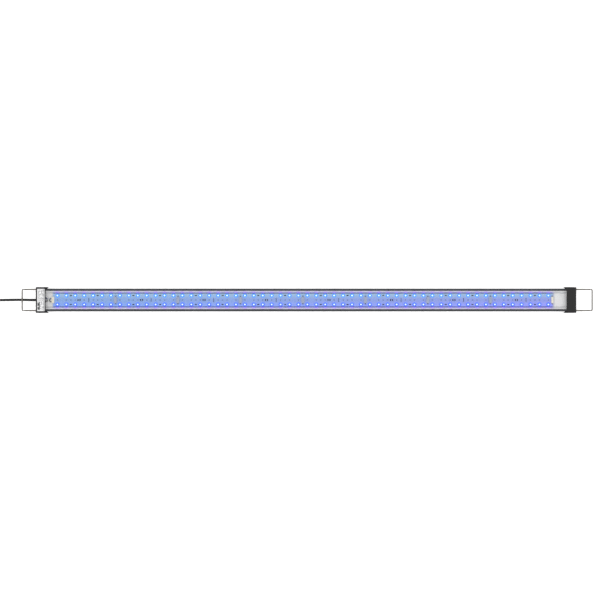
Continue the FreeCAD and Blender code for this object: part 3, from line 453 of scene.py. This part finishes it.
for index in range(1, BOARDS + 1):
    chips = bmesh.new()
    left = FIRST_BOARD + (index - 1) * BOARD_PITCH
    for row in (-LED_ROW, LED_ROW):
        for step in range(LEDS_IN_A_ROW):
            known = len(chips.verts)
            chips.from_mesh(led_data)
            chips.verts.ensure_lookup_table()
            spot = Vector((left + (step + 0.5) * LED_PITCH, row, BOARD_TOP)) * MM
            bmesh.ops.translate(chips, verts=chips.verts[known:], vec=spot)
    finished(f"led_packages_{index}", chips, [led_housing, led_silicone], "lamp",
             [f"led_chips_{index}"])

# ---------------------------------------------------------------- small parts on the boards
# Current regulators in black epoxy with tinned legs, thick-film resistors with tinned ends,
# and one wire bridge to a board, all soldered on top.
DRIVER = (3.8, 1.8, 1.2)
LEGS = (0.4, DRIVER[1] + 0.5, 0.3)  # a pair of legs, across the body of a regulator
LEG_PLACES = (-1.2, 0.0, 1.2)
RESISTOR = (2.4, 1.3, 0.6)
TERMINAL = 0.4
BRIDGE = (1.2, 8.5, 0.6)
DRIVER_PAIR = 4.2
DRIVER_OFFSET = 1.5


def grained_in_painted_led_light(shader, dark, pale):
    """Two colours by a grain of about 0.9 mm, with a glow of the LEDs' light painted on them."""
    place = add_node(shader, "ShaderNodeTexCoord", {})["Object"]
    noise = add_node(shader, "ShaderNodeTexNoise",
                     {"Vector": place, "Scale": 1100.0, "Detail": 2.0})["Fac"]
    mottled = add_node(shader, MIX, {0: noise, 6: dark, 7: pale}, **COLOUR)[2]
    glow = add_node(shader, MIX, {0: led_light(shader)["lit"], 6: "000000", 7: "6478d8"},
                    **COLOUR)[2]
    feed(shader, Base_Color=mottled, Emission_Color=glow)


def standing_on_board(mesh, x, y, size, material):
    """A small block on the board, its middle at x and y, with its top edges rounded."""
    low = (x - size[0] / 2, y - size[1] / 2, BOARD_TOP)
    high = (x + size[0] / 2, y + size[1] / 2, BOARD_TOP + size[2])
    faces = block(mesh, low, high, material)
    upper = {edge for face in faces if face.normal.z > 0.9 for edge in face.edges}
    round_edges(mesh, upper, 0.12, 1)


# Black moulded epoxy, matt, with the bluish light of the LEDs painted into its colour.
driver_epoxy, shader = new_material("black_moulded_epoxy", Roughness=0.7,
                                    Specular_IOR_Level=0.2, Emission_Strength=0.002)
grained_in_painted_led_light(shader, "060508", "0c0b10")
# Tinned copper legs, dull; their blue-grey colour and glow are painted light of the LEDs.
tin, shader = new_material("tinned_copper", Metallic=1.0, Roughness=0.45,
                           Emission_Strength=0.02)
grained_in_painted_led_light(shader, "343b5a", "444b6b")
# Fired resistor paste under glass; its blue colour and glow are painted light of the LEDs.
resistor_glass, shader = new_material("glazed_resistor_body", Roughness=0.3,
                                      Emission_Strength=0.02)
grained_in_painted_led_light(shader, "232951", "2f3662")

for index in range(1, BOARDS + 1):
    parts = bmesh.new()
    left = FIRST_BOARD + (index - 1) * BOARD_PITCH
    for gap in (2, 5):
        for row in (-LED_ROW, LED_ROW):
            middle = left + gap * LED_PITCH
            standing_on_board(parts, middle, row, DRIVER, 0)
            for leg in LEG_PLACES:
                standing_on_board(parts, middle + leg, row, LEGS, 1)
    for step in (-DRIVER_PAIR / 2, DRIVER_PAIR / 2):
        middle = left + 3 * LED_PITCH - DRIVER_OFFSET + step
        standing_on_board(parts, middle, 0, (DRIVER[1], DRIVER[0], DRIVER[2]), 0)
        for leg in LEG_PLACES:
            standing_on_board(parts, middle, leg, (LEGS[1], LEGS[0], LEGS[2]), 1)
    for step in (0.5, 1.5, 2, 2.5, 3.5, 4.5, 5, 5.5, 6.5):
        middle = left + step * LED_PITCH
        standing_on_board(parts, middle, 0, (RESISTOR[0] - 2 * TERMINAL, *RESISTOR[1:]), 2)
        for end in (-1, 1):
            standing_on_board(parts, middle + end * (RESISTOR[0] - TERMINAL) / 2, 0,
                              (TERMINAL, *RESISTOR[1:]), 1)
    standing_on_board(parts, left + 4 * LED_PITCH, 0, BRIDGE, 2)
    finished(f"board_parts_{index}", parts, [driver_epoxy, tin, resistor_glass], "lamp",
             [f"board_components_{index}"])

# ---------------------------------------------------------------- link connectors
# Cream polyamide shells over the joints of the boards, with a tinned solder tab at each end.
LINK = (6.7, 14.2, 3.0)
LINK_ROUND = 3.0
LAST_LINK = (4.4, 14.2, 3.0)
LAST_ROUND = 2.0
LAST_REACH = 1.0
TAB = (2.4, 1.9, 0.8)
# Polyamide of the shells: warm cream, with the blue light that falls on it painted into its
# colour.
cream_shell_in_painted_light, shader = new_material("cream_polyamide", Roughness=0.45, IOR=1.53)
grained(shader, ("929db9", "9ba5bf"), 0.6, 0.01, roughness=(0.4, 0.55))
end_shell, shader = new_material("cream_polyamide_end", Roughness=0.45, IOR=1.53)
grained(shader, ("e2dbc8", "e8e2d2"), 0.6, 0.01, roughness=(0.4, 0.55))


def link_connector(mesh, middle, size, corner):
    """One shell, with its rounded plan and dished top, and its two tabs."""
    low = (middle - size[0] / 2, -size[1] / 2, BOARD_TOP)
    high = (middle + size[0] / 2, size[1] / 2, BOARD_TOP + size[2])
    faces = block(mesh, low, high)
    upright = {edge for face in faces for edge in face.edges if runs_along(edge, 2)}
    rounded = round_edges(mesh, upright, corner, 6)
    # One facet of the rounded corners is softened; the edge of the top stays crisp.
    facet = max(rounded, key=lambda face: face.normal.z)
    round_edges(mesh, facet.edges, 0.5, 2)
    lid = next(face for face in mesh.faces if face.normal.z > 0.99
               and abs(face.calc_center_median().x - middle * MM) < MM)
    bmesh.ops.inset_region(mesh, faces=[lid], thickness=0.7 * MM, depth=-0.35 * MM)
    for side in (-1, 1):
        ends = sorted((side * (size[1] / 2 - 0.1), side * (size[1] / 2 + TAB[1])))
        block(mesh, (middle - TAB[0] / 2, ends[0], BOARD_TOP),
              (middle + TAB[0] / 2, ends[1], BOARD_TOP + TAB[2]), 1)


links = bmesh.new()
for joint in range(1, BOARDS):
    link_connector(links, FIRST_BOARD + joint * BOARD_PITCH, LINK, LINK_ROUND)
finished("board_link_shells", links, [cream_shell_in_painted_light, tin], "lamp",
         ["board_link_connectors"])
last_link = bmesh.new()
link_connector(last_link, LAST_BOARD + LAST_REACH - LAST_LINK[0] / 2, LAST_LINK, LAST_ROUND)
finished("end_link_shell", last_link, [end_shell, tin], "lamp",
         ["end_connector"])

# ---------------------------------------------------------------- input connector and leads
# Two-way header of cream polyamide, soldered on the first board, with its plug pushed in from
# the left. The blue and brown leads in PVC are held together by a nylon tie.
RIB = 0.2                           # how far a rib stands up
LATCH = (2.2, 2.8)                  # length and width of a latch rib
LATCH_PLACE = 3.0
FINGER_RIB = 0.7
FINGER_PITCH = 2.2
LEAD = 1.8
NYLON_WALL = 0.75
header_low, header_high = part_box("input_header")
plug_low, plug_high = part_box("input_plug")
header = bmesh.new()
faces = block(header, header_low / MM, header_high / MM - Vector((0, 0, RIB)))
round_edges(header, {edge for face in faces for edge in face.edges}, 0.3, 2)
header_middle = (header_low.x + header_high.x) / 2 / MM
for place in (-LATCH_PLACE, LATCH_PLACE):
    # Latch ribs on the top of the header.
    block(header, (header_middle - LATCH[0] / 2, place - LATCH[1] / 2,
                   header_high.z / MM - 2 * RIB),
          (header_middle + LATCH[0] / 2, place + LATCH[1] / 2, header_high.z / MM))
finished("input_header_shell", header, [end_shell], "lamp",
         ["input_header"])
plug = bmesh.new()
faces = block(plug, plug_low / MM, plug_high / MM - Vector((0, 0, RIB)))
round_edges(plug, {edge for face in faces for edge in face.edges}, 0.3, 2)
for step in range(-2, 3):
    # Ribs for the fingers across the back of the plug.
    place = step * FINGER_PITCH
    block(plug, (plug_low.x / MM + 0.4, place - FINGER_RIB / 2, plug_high.z / MM - 2 * RIB),
          (plug_high.x / MM - 0.5, place + FINGER_RIB / 2, plug_high.z / MM))
finished("input_plug_shell", plug, [end_shell], "lamp", ["input_plug"])

blue_route = [(6.5, 1.1, 10.5), (8.0, 1.3, 11.4), (11.0, 3.0, 14.2), (17.0, 4.6, 14.4),
              (21.4, 5.0, 14.4), (24.4, 1.3, 14.4), (26.5, 0.92, 14.4), (28.4, 1.3, 14.4),
              (29.8, 3.6, 14.4), (32.3, 4.0, 14.4)]
brown_route = [(6.5, -1.1, 10.5), (8.0, -1.2, 11.4), (11.0, -2.0, 14.2), (17.0, -2.4, 14.4),
               (21.4, -2.9, 14.4), (24.4, -1.1, 14.4), (26.5, -0.92, 14.4), (28.4, -1.3, 14.4),
               (29.8, -3.6, 14.4), (32.3, -4.0, 14.4)]
# PVC insulation of the leads, glossy from the extruder.
for name, points, colours in (("blue", blue_route, ("012a62", "043673")),
                              ("brown", brown_route, ("140906", "1f100a"))):
    insulation, shader = new_material(f"{name}_pvc_insulation", IOR=1.53)
    grained(shader, colours, 0.8, 0.02, roughness=(0.3, 0.42))
    lead = nurbs_tube(f"{name}_lead", [Vector((LEFT_END + x, y, z)) for x, y, z in points], LEAD)
    lead.data.materials.append(insulation)
    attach(lead, "lamp")
    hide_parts(f"lead_{name}")

low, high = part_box("lead_tie")
tie = strap_loop(low, high, 0, NYLON_WALL, 0.7, 4)
# Natural nylon tie, a little see-through at its edges.
tie_nylon, shader = new_material("white_nylon_tie", Roughness=0.4, Subsurface_Weight=0.1)
grained(shader, ("c9c7bf", "d8d6ce"), 0.7, 0.03)
finished("lead_nylon_tie", tie, [tie_nylon], "lamp", ["lead_tie"])

# ---------------------------------------------------------------- reflector tray
# Folded aluminium sheet with a white satin coat. The light of the LEDs is painted on it: blue
# over the boards and a violet glint on its slanted sides beside every LED; its unlit right end
# stays plain white.
coated_sheet, shader = new_material("white_coated_sheet", Roughness=0.4, IOR=1.5,
                                    Emission_Strength=0.05)
light = led_light(shader)
sideways = light["sideways"]
# The grain of the coat, about 1.4 mm, shows only as a faint unevenness.
place = add_node(shader, "ShaderNodeTexCoord", {})["Object"]
coat = add_node(shader, "ShaderNodeTexNoise",
                {"Vector": place, "Scale": 700.0, "Detail": 2.0})["Fac"]
white = add_node(shader, MIX, {0: coat, 6: "dfdfe0", 7: "e3e3e4"}, **COLOUR)[2]
# Painted shade: soft grey where the slanted sides turn away from the light at the unlit ends.
foot_side = add_node(shader, MAP, {"Value": sideways, **span(13.7, 14.5)}, **SMOOTH)[0]
lip_side = add_node(shader, MAP, {"Value": sideways, **span(16.6, 15.2)}, **SMOOTH)[0]
turned_away = add_node(shader, MATH, {0: foot_side, 1: lip_side}, operation="MULTIPLY")[0]
white = add_node(shader, MIX, {0: turned_away, 6: white, 7: "b4b4b7"}, **COLOUR)[2]
# The slanted sides and flanges in painted blue light, with painted violet glints beside the LEDs.
foot_side = add_node(shader, MAP, {"Value": sideways, **span(13.6, 14.2)}, **SMOOTH)[0]
lip_side = add_node(shader, MAP, {"Value": sideways, **span(17.2, 16.6)}, **SMOOTH)[0]
slant = add_node(shader, MATH, {0: foot_side, 1: lip_side}, operation="MULTIPLY")[0]
along = add_node(shader, MATH, {0: light["along"]}, operation="ABSOLUTE")[0]
beside_led = add_node(shader, MAP, {"Value": along, **span(6.5, 1.0)}, **SMOOTH)[0]
rightwards = add_node(shader, MAP, {"Value": light["x"], **span(*VIOLET_RISE)})[0]
slant_painted_light = add_node(shader, MIX, {0: rightwards, 6: "a5a8d8", 7: "9890d8"}, **COLOUR)[2]
glint = add_node(shader, MIX, {0: beside_led, 6: slant_painted_light, 7: "b090ff"}, **COLOUR)[2]
flange_painted_light = add_node(shader, MIX, {0: beside_led, 6: "dedcf2", 7: "d5c8f8"}, **COLOUR)[2]
on_slant = add_node(shader, MIX, {0: slant, 6: flange_painted_light, 7: glint}, **COLOUR)[2]
# The foot of each slanted side is in the shade of the board's edge.
foot = add_node(shader, MAP, {"Value": sideways, **span(15.4, 14.2)}, **SMOOTH)[0]
shaded = add_node(shader, MIX, {0: foot, 6: on_slant, 7: "6473ae"}, **COLOUR)[2]
# Painted LED light over the lit length, plain white coat beyond it; the emission makes it glow.
sheet_in_painted_light = add_node(shader, MIX, {0: light["lit"], 6: white, 7: shaded}, **COLOUR)[2]
relief = add_node(shader, "ShaderNodeBump",
                  {"Height": coat, "Strength": 0.2, "Distance": 0.005 * MM})["Normal"]
feed(shader, Base_Color=sheet_in_painted_light, Emission_Color=sheet_in_painted_light, Normal=relief)
give(coated_sheet, "reflector_tray")

# ---------------------------------------------------------------- clear cover and its seals
# Extruded clear acrylic strip, 1.8 mm thick, slid in under the lips on silicone seals.
acrylic, shader = new_material("clear_acrylic", Base_Color=linear("e9edf0"), IOR=1.49,
                               Specular_IOR_Level=0.12, Alpha=0.025)
# Faint lines of the extrusion, about 4 mm apart and long, in its polish.
place = add_node(shader, "ShaderNodeTexCoord", {})["Object"]
drawn = add_node(shader, "ShaderNodeMapping", {"Vector": place, "Scale": (0.02, 1, 1)})["Vector"]
waves = add_node(shader, "ShaderNodeTexNoise",
                 {"Vector": drawn, "Scale": 260.0, "Detail": 2.0})["Fac"]
polish = add_node(shader, MAP, {"Value": waves, "To Min": 0.04, "To Max": 0.14})[0]
feed(shader, Roughness=polish)
give(acrylic, "clear_cover")
silicone, shader = new_material("translucent_silicone", Roughness=0.6, Subsurface_Weight=0.2)
grained(shader, ("b9b9bb", "c7c7c9"), 0.8, 0.05)
give(silicone, "cover_seals")

# ---------------------------------------------------------------- end caps
# Injection-moulded ABS caps with a fine matt texture, each held by two countersunk screws.
abs_plastic, shader = new_material("matt_moulded_abs", IOR=1.53, Specular_IOR_Level=0.35)
grained(shader, ("1a1a1b", "1f1f20"), 0.45, 0.012, roughness=(0.6, 0.72))
give(abs_plastic, "end_cap_left", "end_cap_right")
# Foam rubber gaskets between profile and caps, and the rubber grommet of the cord.
rubber, shader = new_material("black_rubber", Roughness=0.85)
grained(shader, ("101011", "1c1c1d"), 0.6, 0.08)
give(rubber, "end_gasket_left", "end_gasket_right", "cord_grommet")
# Zinc-plated steel screws: bright grey with faint turning marks.
steel, shader = new_material("zinc_plated_steel", Metallic=1.0)
grained(shader, ("8e8f92", "a5a6a9"), 0.4, 0.01, roughness=(0.28, 0.42))
give(steel, "cap_screws_left", "cap_screws_right")
# Natural acetal and nylon of the bushes and slide shoes: off-white, waxy.
nylon, shader = new_material("natural_nylon", IOR=1.53, Subsurface_Weight=0.1)
grained(shader, ("cfccc2", "dedbd1"), 0.7, 0.04, roughness=(0.4, 0.55))
give(nylon, "guide_bushes_left", "guide_bushes_right", "slide_shoes_left",
     "slide_shoes_right")
# Heat-conducting tape under the boards: grey-blue silicone on glass cloth.
gap_tape, shader = new_material("thermal_gap_tape", Roughness=0.8)
grained(shader, ("7f8ca0", "9099ab"), 0.5, 0.03)
give(gap_tape, "thermal_tapes")

# ---------------------------------------------------------------- rating label
# Glossy white polyester film on the left cap. Its print is grey bars and blocks that stand
# for lines of small type; there are no letters.
LABEL_CORNER = 1.0
SMALL_PRINT = (-565.1, -552.1, -21.5, 21.8)
LARGE_PRINT = (-566.2, -561.6, -20.5, -4.5)
BARE_FOIL = (-555.2, -552.2)
low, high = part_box("rating_label")
label = bmesh.new()
faces = block(label, low / MM, high / MM)
round_edges(label, {edge for face in faces for edge in face.edges if runs_along(edge, 2)},
            LABEL_CORNER, 4)
label_film, shader = new_material("printed_polyester_film", Roughness=0.22, IOR=1.6)
place = add_node(shader, "ShaderNodeTexCoord", {})["Object"]
parts = add_node(shader, "ShaderNodeSeparateXYZ", {0: place})


def printed(line_pitch, cell_length, seed, gaps, space, box):
    """1 on the print of a block of lines that run along Y, and 0 off it.

    gaps is the share of the cells that are left blank, space the share of a line's pitch that
    is left blank, and box the block's left, right, bottom and top in millimetres.
    """
    lines = add_node(shader, MATH, {0: parts["X"], 1: line_pitch * MM}, operation="DIVIDE")[0]
    cells = add_node(shader, MATH, {0: parts["Y"], 1: cell_length * MM}, operation="DIVIDE")[0]
    line = add_node(shader, MATH, {0: lines}, operation="FLOOR")[0]
    cell = add_node(shader, MATH, {0: cells}, operation="FLOOR")[0]
    across = add_node(shader, MATH, {0: lines}, operation="FRACT")[0]
    place_in_print = add_node(shader, "ShaderNodeCombineXYZ", {0: line, 1: cell, 2: seed})[0]
    chance = add_node(shader, "ShaderNodeTexWhiteNoise", {"Vector": place_in_print},
                      noise_dimensions="3D")["Value"]
    left, right, bottom, top = box
    total = add_node(shader, MATH, {0: chance, 1: gaps}, operation="GREATER_THAN")[0]
    for value, operation, limit in ((across, "GREATER_THAN", space),
                                    (parts["X"], "GREATER_THAN", left * MM),
                                    (parts["X"], "LESS_THAN", right * MM),
                                    (parts["Y"], "GREATER_THAN", bottom * MM),
                                    (parts["Y"], "LESS_THAN", top * MM)):
        test = add_node(shader, MATH, {0: value, 1: limit}, operation=operation)[0]
        total = add_node(shader, MATH, {0: total, 1: test}, operation="MULTIPLY")[0]
    return total


grain = add_node(shader, "ShaderNodeTexNoise",
                 {"Vector": place, "Scale": 90.0, "Detail": 2.0})["Fac"]
film = add_node(shader, MIX, {0: grain, 6: "e9e9ea", 7: "f4f4f4"}, **COLOUR)[2]
# Silver edge on the right of the film, where it turns into the bare foil.
edge = add_node(shader, MAP, {"Value": parts["X"], **span(*BARE_FOIL)}, **SMOOTH)[0]
foil = add_node(shader, MIX, {0: edge, 6: film, 7: "c4c4c5"}, **COLOUR)[2]
small_print = printed(2.1, 0.9, 3.0, 0.5, 0.45, SMALL_PRINT)
with_small = add_node(shader, MIX, {0: small_print, 6: foil, 7: "7a7a7e"}, **COLOUR)[2]
large_print = printed(2.3, 2.1, 7.0, 0.22, 0.12, LARGE_PRINT)
with_large = add_node(shader, MIX, {0: large_print, 6: with_small, 7: "1c1c1e"}, **COLOUR)[2]
feed(shader, Base_Color=with_large)
finished("printed_label", label, [label_film], "lamp", ["rating_label"])

# ---------------------------------------------------------------- wire brackets
# Stainless steel wire, 3 mm thick, cut, deburred and bent round pins: two legs that slide in
# the profile, two risers and a crossbar that rests on the rim of the tank.
WIRE = 3.0
LEG_SIDE = 22.4
LEG_LEVEL = 5.7
CROSSBAR_LEVEL = 25.7
LEG_BEND = 4.5
CORNER_BEND = 5.0
END_CHAMFER = 0.35
BEND_STEPS = 10
# Stainless wire: warm grey, drawn, with fine lines and a satin shine.
stainless, shader = new_material("drawn_stainless_wire", Metallic=1.0)
grained(shader, ("6f6b66", "7f7b75"), 0.5, 0.002, roughness=(0.24, 0.36))


def bent_wire(name, inner, outer, body):
    """A bracket: one half swept from the end of a leg to the middle of the crossbar."""
    sign = 1 if outer > inner else -1
    wire = bmesh.new()
    ring = bmesh.ops.create_circle(
        wire, cap_ends=True, segments=20, radius=WIRE / 2 * MM,
        matrix=Matrix.Translation(Vector((inner, LEG_SIDE, LEG_LEVEL)) * MM)
        @ Matrix.Rotation(math.pi / 2, 4, "Y"))
    end = next(iter(ring["verts"][0].link_faces))
    bmesh.ops.inset_region(wire, faces=[end], thickness=END_CHAMFER * MM, use_boundary=True)
    bmesh.ops.translate(wire, verts=[vert for vert in wire.verts if vert.is_boundary],
                        vec=(sign * END_CHAMFER * MM, 0, 0))
    rim = [edge for edge in wire.edges if edge.is_boundary]

    def run(edges, vector):
        made = bmesh.ops.extrude_edge_only(wire, edges=edges)["geom"]
        verts = [item for item in made if isinstance(item, bmesh.types.BMVert)]
        bmesh.ops.translate(wire, verts=verts, vec=Vector(vector) * MM)
        return [item for item in made if isinstance(item, bmesh.types.BMEdge)
                and all(vert in verts for vert in item.verts)]

    def turn(edges, centre, axis, angle):
        made = bmesh.ops.spin(wire, geom=edges, cent=Vector(centre) * MM, axis=axis,
                              angle=angle, steps=BEND_STEPS)["geom_last"]
        return [item for item in made if isinstance(item, bmesh.types.BMEdge)]

    length = abs(outer - inner)
    rim = run(rim, (sign * (length - LEG_BEND - END_CHAMFER), 0, 0))
    rim = turn(rim, (outer - sign * LEG_BEND, LEG_SIDE, LEG_LEVEL + LEG_BEND), (0, -sign, 0),
               math.pi / 2)
    rise = CROSSBAR_LEVEL - LEG_LEVEL - LEG_BEND - CORNER_BEND
    rim = run(rim, (0, 0, rise))
    rim = turn(rim, (outer, LEG_SIDE - CORNER_BEND, CROSSBAR_LEVEL - CORNER_BEND), (1, 0, 0),
               math.pi / 2)
    run(rim, (0, -(LEG_SIDE - CORNER_BEND), 0))
    half = list(wire.verts) + list(wire.edges) + list(wire.faces)
    bmesh.ops.mirror(wire, geom=half, axis="Y", merge_dist=1e-5)
    bmesh.ops.remove_doubles(wire, verts=wire.verts, dist=1e-6)
    bmesh.ops.recalc_face_normals(wire, faces=wire.faces)
    finished(f"{name}_wire", wire, [stainless], body, [name])


bent_wire("bracket_left", -467.5, -597.5, "left_bracket")
bent_wire("bracket_right", 472.0, 602.0, "right_bracket")

# ---------------------------------------------------------------- table and studio light
# White table and a bright, even studio: hardly any shadow.
TABLE_REACH = 60.0                  # metres, so that its edge is out of every view
plane = bmesh.new()
bmesh.ops.create_grid(plane, x_segments=1, y_segments=1, size=TABLE_REACH)
table_data = bpy.data.meshes.new("table")
plane.to_mesh(table_data)
plane.free()
table_top = bpy.data.objects.new("table", table_data)
bpy.context.scene.collection.objects.link(table_top)
white_table, shader = new_material("white_table", Base_Color=linear("ffffff"), Roughness=0.9,
                                   Specular_IOR_Level=0.1, Emission_Color=linear("ffffff"),
                                   Emission_Strength=0.5)
table_data.materials.append(white_table)

world = bpy.data.worlds.new("studio")
world.use_nodes = True
world.node_tree.nodes["Background"].inputs["Color"].default_value = (1.0, 1.0, 1.0, 1.0)
world.node_tree.nodes["Background"].inputs["Strength"].default_value = 1.0
bpy.context.scene.world = world
softbox_data = bpy.data.lights.new("softbox", "AREA")
softbox_data.shape = "RECTANGLE"
softbox_data.size = 3.0
softbox_data.size_y = 1.5
softbox_data.energy = 9.0
softbox = bpy.data.objects.new("softbox", softbox_data)
softbox.location = (0.3, 1.0, 3.3)
softbox.rotation_euler = (-math.radians(17), 0.0, 0.0)
bpy.context.scene.collection.objects.link(softbox)
bpy.context.scene.view_settings.view_transform = "Standard"
